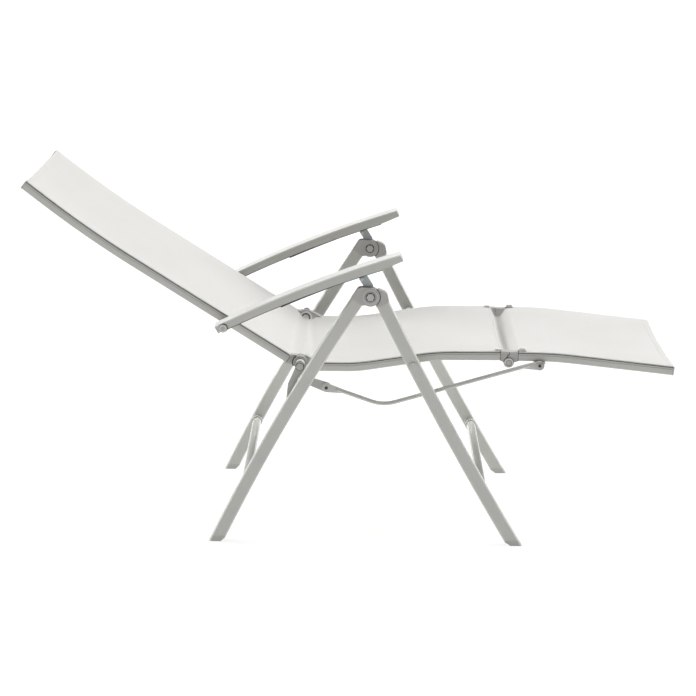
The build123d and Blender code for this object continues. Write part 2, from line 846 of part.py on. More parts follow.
def make_braces():
    seat = [seat_brace_back_x, seat_brace_front_x]
    save("seat_crossbars", [brace(seat_points(), x) for x in seat])
    foot = [foot_brace_x, foot_last_x]
    save("footrest_crossbars", [brace(foot_points(), x) for x in foot])
    back = [back_brace_x, back_top_x]
    save("back_crossbars", [brace(back_points(), x) for x in back])


def arm_outline():
    top = ThreePointArc((arm_tail_x, arm_tail_z), (arm_top_x, arm_top_z),
                        (arm_tip_x, arm_tip_z))
    nose = Line((arm_tip_x, arm_tip_z), (arm_toe_x, arm_toe_z))
    toe = Line((arm_toe_x, arm_toe_z), (arm_under_x, arm_under_z))
    low = ThreePointArc((arm_under_x, arm_under_z), (arm_low_x, arm_low_z),
                        (arm_heel_x, arm_heel_z))
    tail = Line((arm_heel_x, arm_heel_z), (arm_tail_x, arm_tail_z))
    return make_face([top, nose, toe, low, tail])


def band(start_x, end_x):
    long = end_x - start_x
    return Pos(start_x + long / 2, arm_top_z) * Rectangle(long, long * 2)


def make_armrests():
    outline = arm_outline()
    body = slab(outline, arm_in, arm_width)
    hollow = (Pos(0, -arm_roof) * outline) & band(hollow_start_x, hollow_end_x)
    wide = arm_width - arm_side_wall * 2
    body = body - slab(hollow, arm_in + arm_side_wall, wide)
    body = chamfer(body.edges().group_by(SortBy.LENGTH)[-1], arm_edge)
    body = drill(body, arm_pivot_x, arm_pivot_z, arm_bolt)
    save("armrests", both(body))
    rack = (Pos(0, -arm_roof - rack_gap) * outline) & (Pos(0, -rack_show) * outline)
    rack = rack & band(hollow_start_x + rack_gap, rack_end_x)
    for index in range(notch_count):
        x = notch_first_x + notch_step * index
        z = under_height(x) - rack_show
        rack = rack - shape_of([(x - notch_half, z - notch_deep / 4),
                                (x + notch_half, z - notch_deep / 4),
                                (x + notch_flat / 2, z + notch_deep),
                                (x - notch_flat / 2, z + notch_deep)])
    rack_in = arm_in + arm_side_wall + rack_gap
    solid = slab(rack, rack_in, wide - rack_gap * 2)
    middle = fin_in + fin_thick / 2
    solid = solid - slab(rack, middle - fin_slot / 2, fin_slot)
    save("armrest_racks", both(solid))


def under_height(x):
    low = ThreePointArc((arm_under_x, arm_under_z), (arm_low_x, arm_low_z),
                        (arm_heel_x, arm_heel_z))
    return height_on(low, x)


def height_on(curve, x):
    low_share, high_share = 0.0, 1.0
    for step in range(30):
        middle = (low_share + high_share) / 2
        if (curve @ middle).X > x:
            low_share = middle
        else:
            high_share = middle
    return (curve @ low_share).Y


def make_arm_bolts():
    start = rail_in - arm_head_thick
    outer = arm_in + arm_width + side_gap
    bolt = rod_round(arm_pivot_x, arm_pivot_z, arm_bolt, start, outer)
    bolt = bolt + nut(arm_pivot_x, arm_pivot_z, arm_head, start, rail_in)
    bolt = bolt + turned(arm_pivot_x, arm_pivot_z, arm_head, outer, outer + arm_head_thick)
    save("armrest_bolts", both(bolt))
    collar = ring(arm_pivot_x, arm_pivot_z, arm_spacer, arm_bolt, rail_in + rail_width,
                  arm_in - side_gap)
    save("armrest_spacers", both(collar))


def make_clips():
    seat_top = seat_end_z + rail_height / 2
    foot_top = foot_start_z + rail_height / 2
    left = Pos(seat_end_x - clip_long / 3, seat_top + clip_tall / 2)
    right = Pos(foot_start_x + clip_long / 2, foot_top + clip_tall / 2)
    block = Rectangle(clip_long, clip_tall)
    save("seat_fabric_clips", both(slab(left * block, rail_in + slip_gap, clip_wide)))
    save("footrest_fabric_clips", both(slab(right * block, rail_in + slip_gap, clip_wide)))


make_rails()
make_cloth()
make_end_caps()
make_braces()
make_rear_legs()
make_front_legs()
make_cross_bar("rear", rear_bar_x)
make_cross_bar("front", front_bar_x)
make_rear_top_knuckles()
make_front_top_knuckles()
make_latch()
make_top_bolts()
make_back_knuckles()
make_seat_rear_knuckles()
make_seat_front_knuckles()
make_footrest_knuckles()
make_hinge_hardware()
make_levers()
make_rods()
make_links()
make_rod_brackets()
make_leg_pivots()
make_armrests()
make_arm_bolts()
make_clips()
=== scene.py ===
import json
import math
from collections import namedtuple

import bmesh
import bpy
import numpy as np
from mathutils import Matrix, Vector


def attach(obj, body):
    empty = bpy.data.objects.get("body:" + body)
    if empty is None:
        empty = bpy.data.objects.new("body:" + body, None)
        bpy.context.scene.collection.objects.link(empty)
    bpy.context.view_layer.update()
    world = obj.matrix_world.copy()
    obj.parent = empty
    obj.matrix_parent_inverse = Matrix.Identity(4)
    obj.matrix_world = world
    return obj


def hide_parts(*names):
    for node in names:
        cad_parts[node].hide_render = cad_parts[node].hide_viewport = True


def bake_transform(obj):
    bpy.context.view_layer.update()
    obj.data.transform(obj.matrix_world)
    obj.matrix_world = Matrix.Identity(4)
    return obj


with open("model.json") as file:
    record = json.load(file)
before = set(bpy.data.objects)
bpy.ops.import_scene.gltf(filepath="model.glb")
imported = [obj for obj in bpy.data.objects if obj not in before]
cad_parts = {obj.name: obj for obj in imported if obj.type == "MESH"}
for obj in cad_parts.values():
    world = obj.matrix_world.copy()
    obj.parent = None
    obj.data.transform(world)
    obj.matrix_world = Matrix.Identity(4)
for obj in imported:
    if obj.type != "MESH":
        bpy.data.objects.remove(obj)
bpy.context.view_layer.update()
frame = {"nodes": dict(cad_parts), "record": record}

NODES = frame["nodes"]

# Shapes are drawn in mm in the side view: x from the rear feet, z from the floor. The frame's X
# is that x less MID. Layers are distances outward from the chair's middle plane.
MM = 0.001
MID = 302.9

# Camera: a pinhole fitted to the photo.
EYE_AT = (320.154, -4607.825, 1579.986)
YAW, PITCH, ROLL = -0.005, 0.2521, 0.0147
FOCAL_PX, PHOTO_PX = 1987.51, 696
SENSOR_MM = 36


def add_camera():
    ahead = Vector((math.sin(YAW) * math.cos(PITCH), math.cos(YAW) * math.cos(PITCH),
                    -math.sin(PITCH)))
    level = Vector((math.cos(YAW), -math.sin(YAW), 0))
    raised = level.cross(ahead)
    right = math.cos(ROLL) * level + math.sin(ROLL) * raised
    above = -math.sin(ROLL) * level + math.cos(ROLL) * raised
    lens = bpy.data.cameras.new("camera")
    lens.sensor_width = SENSOR_MM
    lens.lens = FOCAL_PX * SENSOR_MM / PHOTO_PX
    camera = bpy.data.objects.new("camera", lens)
    bpy.context.collection.objects.link(camera)
    x, y, z = EYE_AT
    turn = Matrix((right, above, -ahead)).transposed().to_4x4()
    camera.matrix_world = Matrix.Translation(Vector((x - MID, y, z)) * MM) @ turn
    bpy.context.scene.camera = camera


add_camera()

# Materials: sockets of a Mix node, then the scales and depths that the finishes share.
MIX_SHARE, MIX_FLOATS, MIX_COLOURS = 0, (2, 3), (6, 7)
FLOAT_OUT, COLOUR_OUT = 0, 2
CLOUDS = {"Scale": 9.0, "Detail": 5.0, "Roughness": 0.6}
SPECK_SCALE, SPECK_DETAIL, GRAIN_DETAIL = 0.35, 3.0, 2.0
TINT_STOPS = (0.35, 0.65)
DUST_STOPS, DUST_DARK, DUST_SHARE = (0.3, 0.45), 0.93, 0.25
GLOSS_BELOW, GLOSS_ABOVE = 0.07, 0.09
GRAIN_DISTANCE, STREAK_DISTANCE = 0.0004, 0.0003
STREAK_SCALE, STREAK_DETAIL = (40, 900, 40), 3.0

# The weave. At scale 1 the wave texture repeats every WAVE_PERIOD and the checker's squares are
# 1 wide, so both are divided by the pitch of the yarns.
WAVE_PERIOD = 0.314
SLUBS = {"Scale": 60.0, "Detail": 4.0}
FADING = {"Scale": 3.0, "Detail": 4.0}
YARN_STOPS = (0.1, 0.75)
FADED, UNFADED, FADING_STOPS = (0.95, 0.95, 0.94), (1, 1, 1), (0.3, 0.6)
WEAVE_GLOSS = (0.62, 0.8)
YARN_BUMP, SLUB_BUMP = (0.35, 0.0003), (0.12, 0.0006)
SHEEN, SHEEN_ROUGH = 0.12, 0.5


def start_material(name):
    material = bpy.data.materials.new(name)
    material.use_nodes = True
    tree = material.node_tree
    shader = tree.nodes["Principled BSDF"]
    return material, tree, shader


def add(tree, kind, **values):
    """A node with its sockets' values, and its other settings, given by name."""
    node = tree.nodes.new(kind)
    for key, value in values.items():
        if key in node.inputs:
            node.inputs[key].default_value = value
        else:
            setattr(node, key, value)
    return node


def link(tree, source, out, node, into):
    tree.links.new(source.outputs[out], node.inputs[into])


def ramp(tree, source, out, low, high, stops):
    node = add(tree, "ShaderNodeValToRGB")
    for element, colour, stop in zip(node.color_ramp.elements, (low, high), stops):
        element.position = stop
        element.color = (*colour, 1)
    link(tree, source, out, node, "Fac")
    return node


def paint(tree, shader, first, second, share):
    """Base colour: the first ramp, multiplied by a share of the second."""
    mix = add(tree, "ShaderNodeMix", data_type="RGBA", blend_type="MULTIPLY")
    mix.inputs[MIX_SHARE].default_value = share
    link(tree, first, "Color", mix, MIX_COLOURS[0])
    link(tree, second, "Color", mix, MIX_COLOURS[1])
    link(tree, mix, COLOUR_OUT, shader, "Base Color")


def gloss(tree, shader, noise, low, high):
    """Roughness that follows a noise, from low to high."""
    span = add(tree, "ShaderNodeMapRange")
    span.inputs["To Min"].default_value = low
    span.inputs["To Max"].default_value = high
    link(tree, noise, "Fac", span, "Value")
    link(tree, span, "Result", shader, "Roughness")


def bumped(tree, source, out, strength, distance, under=None):
    bump = add(tree, "ShaderNodeBump", Strength=strength, Distance=distance)
    link(tree, source, out, bump, "Height")
    if under is not None:
        link(tree, under, "Normal", bump, "Normal")
    return bump


def coated(name, light, dark, rough, grain, depth, metal=0.0, streak=0.0, coat=0.0):
    """Powder coat, cast or moulded surface: cloudy colour, fine grain, uneven gloss."""
    material, tree, shader = start_material(name)
    place = add(tree, "ShaderNodeTexCoord")
    cloud = add(tree, "ShaderNodeTexNoise", **CLOUDS)
    speck = add(tree, "ShaderNodeTexNoise", Scale=grain * SPECK_SCALE, Detail=SPECK_DETAIL)
    fine = add(tree, "ShaderNodeTexNoise", Scale=grain, Detail=GRAIN_DETAIL)
    for node in (cloud, speck, fine):
        link(tree, place, "Object", node, "Vector")
    tint = ramp(tree, cloud, "Fac", dark, light, TINT_STOPS)
    dust = ramp(tree, speck, "Fac", tuple(c * DUST_DARK for c in dark), light, DUST_STOPS)
    paint(tree, shader, tint, dust, DUST_SHARE)
    gloss(tree, shader, cloud, rough - GLOSS_BELOW, rough + GLOSS_ABOVE)
    bump = bumped(tree, fine, "Fac", depth, GRAIN_DISTANCE)
    if streak:
        stretch = add(tree, "ShaderNodeMapping")
        stretch.inputs["Scale"].default_value = STREAK_SCALE
        brushed = add(tree, "ShaderNodeTexNoise", Scale=1.0, Detail=STREAK_DETAIL)
        link(tree, place, "Object", stretch, "Vector")
        link(tree, stretch, "Vector", brushed, "Vector")
        bump = bumped(tree, brushed, "Fac", streak, STREAK_DISTANCE, bump)
    link(tree, bump, "Normal", shader, "Normal")
    shader.inputs["Metallic"].default_value = metal
    shader.inputs["Coat Weight"].default_value = coat
    return material


def woven(name, light, dark, pitch):
    """Coated open weave: round yarns over and under each other, on the sheet's own metres."""
    material, tree, shader = start_material(name)
    place = add(tree, "ShaderNodeTexCoord")
    warp = add(tree, "ShaderNodeTexWave", Scale=WAVE_PERIOD / pitch, bands_direction="X")
    weft = add(tree, "ShaderNodeTexWave", Scale=WAVE_PERIOD / pitch, bands_direction="Y")
    check = add(tree, "ShaderNodeTexChecker", Scale=1.0 / pitch)
    slub = add(tree, "ShaderNodeTexNoise", **SLUBS)
    fade = add(tree, "ShaderNodeTexNoise", **FADING)
    for node in (warp, weft, check, slub, fade):
        link(tree, place, "UV", node, "Vector")
    over = add(tree, "ShaderNodeMix", data_type="FLOAT")
    link(tree, check, "Fac", over, MIX_SHARE)
    link(tree, warp, "Fac", over, MIX_FLOATS[0])
    link(tree, weft, "Fac", over, MIX_FLOATS[1])
    tint = ramp(tree, over, FLOAT_OUT, dark, light, YARN_STOPS)
    shade = ramp(tree, fade, "Fac", FADED, UNFADED, FADING_STOPS)
    paint(tree, shader, tint, shade, 1.0)
    gloss(tree, shader, slub, *WEAVE_GLOSS)
    bump = bumped(tree, over, FLOAT_OUT, *YARN_BUMP)
    bump = bumped(tree, slub, "Fac", *SLUB_BUMP, bump)
    link(tree, bump, "Normal", shader, "Normal")
    shader.inputs["Sheen Weight"].default_value = SHEEN
    shader.inputs["Sheen Roughness"].default_value = SHEEN_ROUGH
    return material


# Each finish: name, light and dark colour, roughness, grain and its depth, then metal, streak
# and coat where it has them.
FINISHES = {
    "white_frame": ("white_powder_coat", (0.61, 0.615, 0.58), (0.575, 0.58, 0.545),
                    0.42, 1400, 0.18, 0.0, 0.0, 0.8),
    "cast_hinge": ("cast_hinge_coat", (0.57, 0.56, 0.54), (0.51, 0.50, 0.485),
                   0.48, 900, 0.35),
    "white_steel": ("coated_plate", (0.54, 0.545, 0.52), (0.49, 0.495, 0.47),
                    0.45, 1200, 0.2),
    "zinc_steel": ("coated_bolt", (0.64, 0.635, 0.61), (0.57, 0.565, 0.545),
                   0.4, 1600, 0.15, 0.0, 0.3),
    "grey_plastic": ("grey_moulding", (0.56, 0.56, 0.53), (0.51, 0.51, 0.485),
                     0.5, 1100, 0.4),
    "white_plastic": ("white_moulding", (0.62, 0.62, 0.59), (0.58, 0.58, 0.55),
                      0.42, 1100, 0.3),
    # Dark moulding; the script also lays it on thin sheets in gaps, slots and under parts as
    # painted shade.
    "dark_plastic": ("dark_moulding", (0.075, 0.075, 0.07), (0.045, 0.045, 0.045),
                     0.5, 1000, 0.4),
    "edge_cord": ("edge_cord", (0.58, 0.58, 0.57), (0.5, 0.5, 0.49),
                  0.55, 700, 0.4),
    # Lighter white: the own colour of the washers, rings and clips, and a painted highlight on the
    # armrests' top faces.
    "cap_face": ("white_cap_face", (0.76, 0.76, 0.74), (0.72, 0.72, 0.70),
                 0.42, 1100, 0.3),
    "latch_plate": ("coated_latch_plate", (0.47, 0.505, 0.51), (0.42, 0.455, 0.46),
                    0.42, 1600, 0.15, 0.2, 0.3),
}
MATERIALS = {slot: coated(*finish) for slot, finish in FINISHES.items()}
YARN_PITCH = 0.0014
WEAVE = woven("sling_weave", (0.605, 0.597, 0.582), (0.55, 0.542, 0.528), YARN_PITCH)
MATERIALS["sling_fabric"] = WEAVE
THREAD = coated("sewing_thread", (0.70, 0.695, 0.68), (0.63, 0.625, 0.61), 0.6, 2400, 0.5)

for entry in frame["record"]["subparts"]:
    shown = NODES[entry["node"]]
    shown.data.materials.clear()
    shown.data.materials.append(MATERIALS[entry["material_slot"]])

# Rails in the side view: corner points of each middle line, and the radius of its bends.
BACK_BENDS = [(-431.0, 815.5), (-290, 706.6), (162, 424.1)], 2400.0
SEAT_BENDS = [(232, 406), (318, 406), (500, 436), (645.6, 437.8)], 500.0
FOOT_BENDS = [(686.8, 437), (772, 436.6), (1040.5, 409.0)], 800.0
RAIL_IN, RAIL_OUT = 207.0, 225.0
ARC_STEPS, BRIDGE_STEPS = 60, 24


def rounded(points, radius):
    """Straight runs joined by tangent arcs."""
    points = [np.array(p, float) for p in points]
    line = [points[0]]
    for before, corner, after in zip(points, points[1:], points[2:]):
        a = (before - corner) / np.linalg.norm(before - corner)
        b = (after - corner) / np.linalg.norm(after - corner)
        half = math.acos(np.clip(a @ b, -1, 1)) / 2
        reach = radius / math.tan(half)
        middle = corner + (a + b) / np.linalg.norm(a + b) * radius / math.sin(half)
        start, end = corner + a * reach, corner + b * reach
        first = math.atan2(*(start - middle)[::-1])
        sweep = math.atan2(*(end - middle)[::-1]) - first
        sweep = (sweep + math.pi) % (2 * math.pi) - math.pi
        for step in np.linspace(0, 1, ARC_STEPS):
            angle = first + sweep * step
            line.append(middle + radius * np.array((math.cos(angle), math.sin(angle))))
    line.append(points[-1])
    return np.array(line)


def lifted(line, rise):
    """The line moved by rise along its upward normals."""
    slope = np.gradient(line, axis=0)
    slope /= np.linalg.norm(slope, axis=1)[:, None]
    return line + np.stack((-slope[:, 1], slope[:, 0]), 1) * rise


def bridge(first, second):
    """Smooth curve from the end of one line to the start of the next, without its ends."""
    a, b = first[-1], second[0]
    ta, tb = first[-1] - first[-3], second[2] - second[0]
    size = np.linalg.norm(b - a)
    ta, tb = ta / np.linalg.norm(ta) * size, tb / np.linalg.norm(tb) * size
    t = np.linspace(0, 1, BRIDGE_STEPS)[:, None]
    curve = ((2 * t**3 - 3 * t**2 + 1) * a + (t**3 - 2 * t**2 + t) * ta
             + (-2 * t**3 + 3 * t**2) * b + (t**3 - t**2) * tb)
    return curve[1:-1]


def even(line, step):
    """The line at even steps, and the distance along it of each point."""
    lengths = np.concatenate(([0], np.cumsum(np.linalg.norm(np.diff(line, axis=0), axis=1))))
    count = int(lengths[-1] / step) + 1
    at = np.linspace(0, lengths[-1], count)
    return np.stack([np.interp(at, lengths, line[:, k]) for k in (0, 1)], 1), at


def softened(line, passes):
    line = line.copy()
    for _ in range(passes):
        line[1:-1] = (line[:-2] + line[1:-1] * 2 + line[2:]) / 4
    return line


def place_of(line, at, x):
    """Distance along the line of the place at x."""
    return float(np.interp(x, line[:, 0], at))


back_rail = rounded(*BACK_BENDS)
seat_rail = rounded(*SEAT_BENDS)
foot_rail = rounded(*FOOT_BENDS)

# The sling lies RISE above the rails' middle line. It is flat out to FLAT_HALF, turns down with
# the radius WRAP there, and ends EDGE from its middle, measured along the cloth.
RISE = 11.05
FLAT_HALF, WRAP, EDGE = 224.4, 1.1, 227.1
SAG = 6.5
CLOTH_STEP, SOFT_PASSES = 3.0, 2
CLOTH_THICK = 0.9
INNER_COLUMNS = 60
BESIDE = (RAIL_IN, 216.0, 222.0, FLAT_HALF, 224.9, 225.5, 226.1, EDGE)
COLUMNS = ([-u / EDGE for u in BESIDE[::-1]]
           + list(np.linspace(-RAIL_IN, RAIL_IN, INNER_COLUMNS)[1:-1] / EDGE)
           + [u / EDGE for u in BESIDE])
RIPPLE, RIPPLE_ALONG, RIPPLE_ACROSS = 0.35, 47.0, 61.0
SLOPE_STEP = 2.0
CUT_FLATNESS, CUT_ROUNDNESS = 2.2, 0.85
DIP_EVEN, DIP_MIDDLE = 0.8, 0.2

# A cut draws the cloth's edges in by depth, within reach of its middle. A dip lowers the cloth
# from start to end: it falls within first, comes back up within last, and leans across the cloth.
Cut = namedtuple("Cut", "middle reach depth")
Dip = namedtuple("Dip", "start end first last depth lean")
Sling = namedtuple("Sling", "line at cuts dips")


def shape_half(s, cuts):
    """Half width of the cloth; it draws in beside each hinge."""
    half = EDGE
    for cut in cuts:
        off = abs(s - cut.middle) / cut.reach
        if off < 1:
            half = min(half, EDGE - cut.depth * (1 - off ** CUT_FLATNESS) ** CUT_ROUNDNESS)
    return half


def smooth(t):
    t = min(max(t, 0.0), 1.0)
    return t * t * (3 - 2 * t)


def sheet_point(sling, s, v):
    """Point and normal of the sling at s mm along it and v from -1 to 1 across it."""
    line, at = sling.line, sling.at
    inside = min(max(s, at[0] + SLOPE_STEP), at[-1] - SLOPE_STEP)
    (x, dx), (z, dz) = ((np.interp(inside, at, line[:, k]),
                         np.interp(inside + SLOPE_STEP, at, line[:, k])
                         - np.interp(inside - SLOPE_STEP, at, line[:, k])) for k in (0, 1))
    size = math.hypot(dx, dz)
    nx, nz = -dz / size, dx / size
    x, z = x + dx / size * (s - inside), z + dz / size * (s - inside)
    u = v * shape_half(s, sling.cuts)
    quarter = WRAP * math.pi / 2
    over = min(max(abs(u) - FLAT_HALF, 0), quarter)
    y = math.copysign(min(abs(u), FLAT_HALF) + WRAP * math.sin(over / WRAP), u)
    across = max(0.0, 1 - (y / RAIL_IN) ** 2)
    low = -SAG * across - WRAP * (1 - math.cos(over / WRAP))
    low -= max(0.0, abs(u) - FLAT_HALF - quarter)
    for dip in sling.dips:
        off = s - dip.lean * y
        drop = min(max((off - dip.start) / dip.first, 0.0), 1.0)
        share = drop * (2 - drop) * smooth((dip.end - off) / dip.last)
        low -= dip.depth * share * (DIP_EVEN + DIP_MIDDLE * across)
    low += RIPPLE * math.sin(s / RIPPLE_ALONG + y / RIPPLE_ACROSS) * across
    return Vector((x + nx * low - MID, y, z + nz * low)) * MM, Vector((nx, 0, nz))


def mesh_object(name, points, faces, uvs, material, shaded_smooth=True):
    mesh = bpy.data.meshes.new(name)
    mesh.from_pydata(points, [], faces)
    layer = mesh.uv_layers.new(name="weave")
    for loop in mesh.loops:
        layer.data[loop.index].uv = uvs[loop.vertex_index]
    for face in mesh.polygons:
        face.use_smooth = shaded_smooth
    mesh.materials.append(material)
    piece = bpy.data.objects.new(name, mesh)
    bpy.context.collection.objects.link(piece)
    return piece


def thicken(piece, thick):
    body = piece.modifiers.new("thickness", "SOLIDIFY")
    body.thickness = thick * MM
    body.offset = 0


def soften(piece, width, segments, angle=None):
    """Bevel on the edges that turn more than the angle in degrees, or Blender's own default."""
    edge = piece.modifiers.new("edge", "BEVEL")
    edge.width = width * MM
    edge.segments = segments
    edge.limit_method = "ANGLE"
    if angle:
        edge.angle_limit = math.radians(angle)


def grid_faces(rows, columns):
    return [(a, a + columns, a + columns + 1, a + 1)
            for i in range(rows - 1) for a in range(i * columns, (i + 1) * columns - 1)]


def cloth_patch(name, sling, s_from, s_to, v_limit, thick, uv_from=0.0):
    """A patch of the sling's surface with its own thickness."""
    rows = max(2, int((s_to - s_from) / CLOTH_STEP) + 1)
    across = [v for v in COLUMNS if -v_limit <= v <= v_limit]
    points, uvs = [], []
    for i in range(rows):
        s = s_from + (s_to - s_from) * i / (rows - 1)
        for v in across:
            point, _ = sheet_point(sling, s, v)
            points.append(point)
            uvs.append((point.y, (s + uv_from) * MM))
    faces = grid_faces(rows, len(across))
    piece = mesh_object(name, points, faces, uvs, WEAVE)
    thicken(piece, thick)
    return piece


# One stitch: places along the thread and its radius there.
STITCH = ((-1.3, 0.10), (-0.8, 0.28), (0.8, 0.28), (1.3, 0.10))
STITCH_SIDES, STITCH_STEP = 6, 3.8


def stitches(name, sling, places, heading, lift, fat):
    """Sewn stitches: short rounded threads on both faces of the cloth at places (s, v)."""
    points, faces, uvs = [], [], []
    for s, v in places:
        point, normal = sheet_point(sling, s, v)
        onward, _ = sheet_point(sling, s + heading[0], v + heading[1])
        along = (onward - point).normalized()
        beside = along.cross(normal).normalized()
        for face_side in (1, -1):
            base = len(points)
            middle = point + normal * lift * face_side * MM
            for t, thread_radius in STITCH:
                radius = thread_radius * fat
                for k in range(STITCH_SIDES):
                    angle = math.pi * 2 / STITCH_SIDES * k
                    spoke = beside * math.cos(angle) + normal * math.sin(angle)
                    points.append(middle + along * t * MM + spoke * radius * MM)
                    uvs.append((t * MM, angle * MM))
            for start in range(base, base + STITCH_SIDES * (len(STITCH) - 1), STITCH_SIDES):
                for k in range(STITCH_SIDES):
                    a, b = start + k, start + (k + 1) % STITCH_SIDES
                    faces.append((a, b, b + STITCH_SIDES, a + STITCH_SIDES))
            last = base + STITCH_SIDES * (len(STITCH) - 1)
            faces.append(tuple(base + k for k in reversed(range(STITCH_SIDES))))
            faces.append(tuple(last + k for k in range(STITCH_SIDES)))
    return mesh_object(name, points, faces, uvs, THREAD)


# Hems. Beside a hinge: width, thickness, bevel, the reach past the cut of the hem and of its
# seam, and the seam's distance from the hem's inner edge. At a free end: the same, with limits
# across the cloth.
SIDE_HEM_WIDE, SIDE_HEM_THICK, SIDE_HEM_EDGE = 7.0, 2.2, 0.7
SIDE_HEM_ROWS, SIDE_HEM_COLUMNS = 40, 4
SIDE_HEM_REACH, SIDE_SEAM_REACH, SIDE_SEAM_IN = 1.12, 1.05, 1.4
SIDE_SEAM_LIFT = 1.15
END_HEM_WIDE, END_HEM_THICK, END_HEM_EDGE = 14.0, 1.15, 0.35
END_HEM_LIMIT, END_SEAM_LIMIT, END_SEAM_IN = 0.995, 0.975, 2.0
END_SEAM_LIFT, END_SEAM_FAT, END_SEAM_TURN = 0.62, 0.6, 0.004
HEM_SEGMENTS = 2


def hem_ring(name, sling, cut, side):
    """Sewn hem along the drawn-in edge beside a hinge."""
    points, uvs = [], []
    for i in range(SIDE_HEM_ROWS):
        past = cut.reach * SIDE_HEM_REACH
        s = cut.middle - past + 2 * past * i / (SIDE_HEM_ROWS - 1)
        half = shape_half(s, sling.cuts)
        for j in range(SIDE_HEM_COLUMNS):
            v = side * (1 - SIDE_HEM_WIDE * j / (SIDE_HEM_COLUMNS - 1) / half)
            point, _ = sheet_point(sling, s, v)
            points.append(point)
            uvs.append((point.y, s * MM))
    faces = grid_faces(SIDE_HEM_ROWS, SIDE_HEM_COLUMNS)
    if side > 0:
        faces = [face[::-1] for face in faces]
    piece = mesh_object(name, points, faces, uvs, WEAVE)
    thicken(piece, SIDE_HEM_THICK)
    soften(piece, SIDE_HEM_EDGE, HEM_SEGMENTS)
    places = []
    for i in range(int(2 * SIDE_SEAM_REACH * cut.reach / STITCH_STEP)):
        s = cut.middle - cut.reach * SIDE_SEAM_REACH + STITCH_STEP * i
        seam = (SIDE_HEM_WIDE - SIDE_SEAM_IN) / shape_half(s, sling.cuts)
        places.append((s, side * (1 - seam)))
    thread = stitches(name + "_stitches", sling, places, (1.0, 0.0), SIDE_SEAM_LIFT, 1.0)
    return [piece, thread]


def end_hem(name, sling, s_edge, inward):
    """Folded and sewn hem across a free end of the sling."""
    s_from, s_to = sorted((s_edge, s_edge + inward * END_HEM_WIDE))
    piece = cloth_patch(name, sling, s_from, s_to, END_HEM_LIMIT, END_HEM_THICK)
    soften(piece, END_HEM_EDGE, HEM_SEGMENTS)
    count = int(2 * EDGE / STITCH_STEP)
    s = s_edge + inward * (END_HEM_WIDE - END_SEAM_IN)
    places = [(s, -END_SEAM_LIMIT + 2 * END_SEAM_LIMIT * i / (count - 1)) for i in range(count)]
    thread = stitches(name + "_stitches", sling, places, (0.0, END_SEAM_TURN),
                      END_SEAM_LIFT, END_SEAM_FAT)
    return [piece, thread]


# The two sheets: one over the back and seat, one over the footrest hinge and the footrest.
HINGE_X, KNEE_X = 196.0, 666.0
HINGE_REACH, KNEE_REACH, CUT_DEPTH = 27.0, 24.0, 44.0
VALLEY = Dip(-16.5, 26.0, 13.0, 27.0, 21.0, 0.0)
FOLDS = [Dip(-30.0, 6.0, 14.0, 22.0, 4.0, 0.02), Dip(8.0, 34.0, 9.0, 17.0, 2.4, -0.05)]


def dips_at(s, dips):
    return [dip._replace(start=s + dip.start, end=s + dip.end) for dip in dips]


back_line, seat_line, foot_line = (lifted(rail, RISE) for rail in (back_rail, seat_rail, foot_rail))
upper_path = np.concatenate((back_line, bridge(back_line, seat_line), seat_line))
upper_line, upper_at = even(softened(upper_path, SOFT_PASSES), CLOTH_STEP)
lower_path = np.concatenate((seat_line[-1:], bridge(seat_line, foot_line), foot_line))
lower_line, lower_at = even(lower_path, CLOTH_STEP)

s_hinge = place_of(upper_line, upper_at, HINGE_X)
s_front = float(upper_at[-1])
s_knee = place_of(lower_line, lower_at, KNEE_X)
low_end = float(lower_at[-1])
hinge_cut = Cut(s_hinge, HINGE_REACH, CUT_DEPTH)
knee_cut = Cut(s_knee, KNEE_REACH, CUT_DEPTH)
UPPER = Sling(upper_line, upper_at,
              [hinge_cut, knee_cut._replace(middle=s_front + s_knee)],
              dips_at(s_hinge, FOLDS) + dips_at(s_front + s_knee, [VALLEY]))
LOWER = Sling(lower_line, lower_at,
              [hinge_cut._replace(middle=s_hinge - s_front), knee_cut],
              dips_at(s_knee, [VALLEY]))

upper_sling = cloth_patch("sling_upper", UPPER, 0.0, s_front, 1, CLOTH_THICK)
lower_sling = cloth_patch("sling_lower", LOWER, 0.0, low_end, 1, CLOTH_THICK, uv_from=s_front)
upper_extra = end_hem("head_hem", UPPER, 0.0, 1)
lower_extra = end_hem("foot_hem", LOWER, low_end, -1)
for side, word in ((-1, "near"), (1, "far")):
    upper_extra += hem_ring("hinge_hem_" + word, UPPER, hinge_cut, side)
    lower_extra += hem_ring("knee_hem_" + word, LOWER, knee_cut, side)


for piece in [upper_sling] + upper_extra:
    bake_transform(piece)
for piece in [lower_sling] + lower_extra:
    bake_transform(piece)
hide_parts("back_fabric", "seat_fabric")
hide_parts("footrest_fabric")

# Small parts: outlines and bands in the side view, given depth on both sides of the chair.
CORNER_ANGLE, CORNER_SEGMENTS, CORNER_SKIP = 40, 3, 5
BAND_STEP = 12.0
FULL_TURN, DISC_STEPS, PART_DISC_STEPS = 360.0, 48, 24
GAP_SHADE_HALF, GAP_SHADE_THICK = 10.5, 1.1


def closed_mesh(name, points, faces, uvs, slot, body, edge, instead=()):
    piece = mesh_object(name, points, faces, uvs, MATERIALS[slot], shaded_smooth=False)
    shape = bmesh.new()
    shape.from_mesh(piece.data)
    bmesh.ops.recalc_face_normals(shape, faces=shape.faces)
    shape.to_mesh(piece.data)
    shape.free()
    if edge:
        soften(piece, edge, CORNER_SEGMENTS, CORNER_ANGLE)
    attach(piece, body)
    if instead:
        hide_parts(*instead)
    return piece


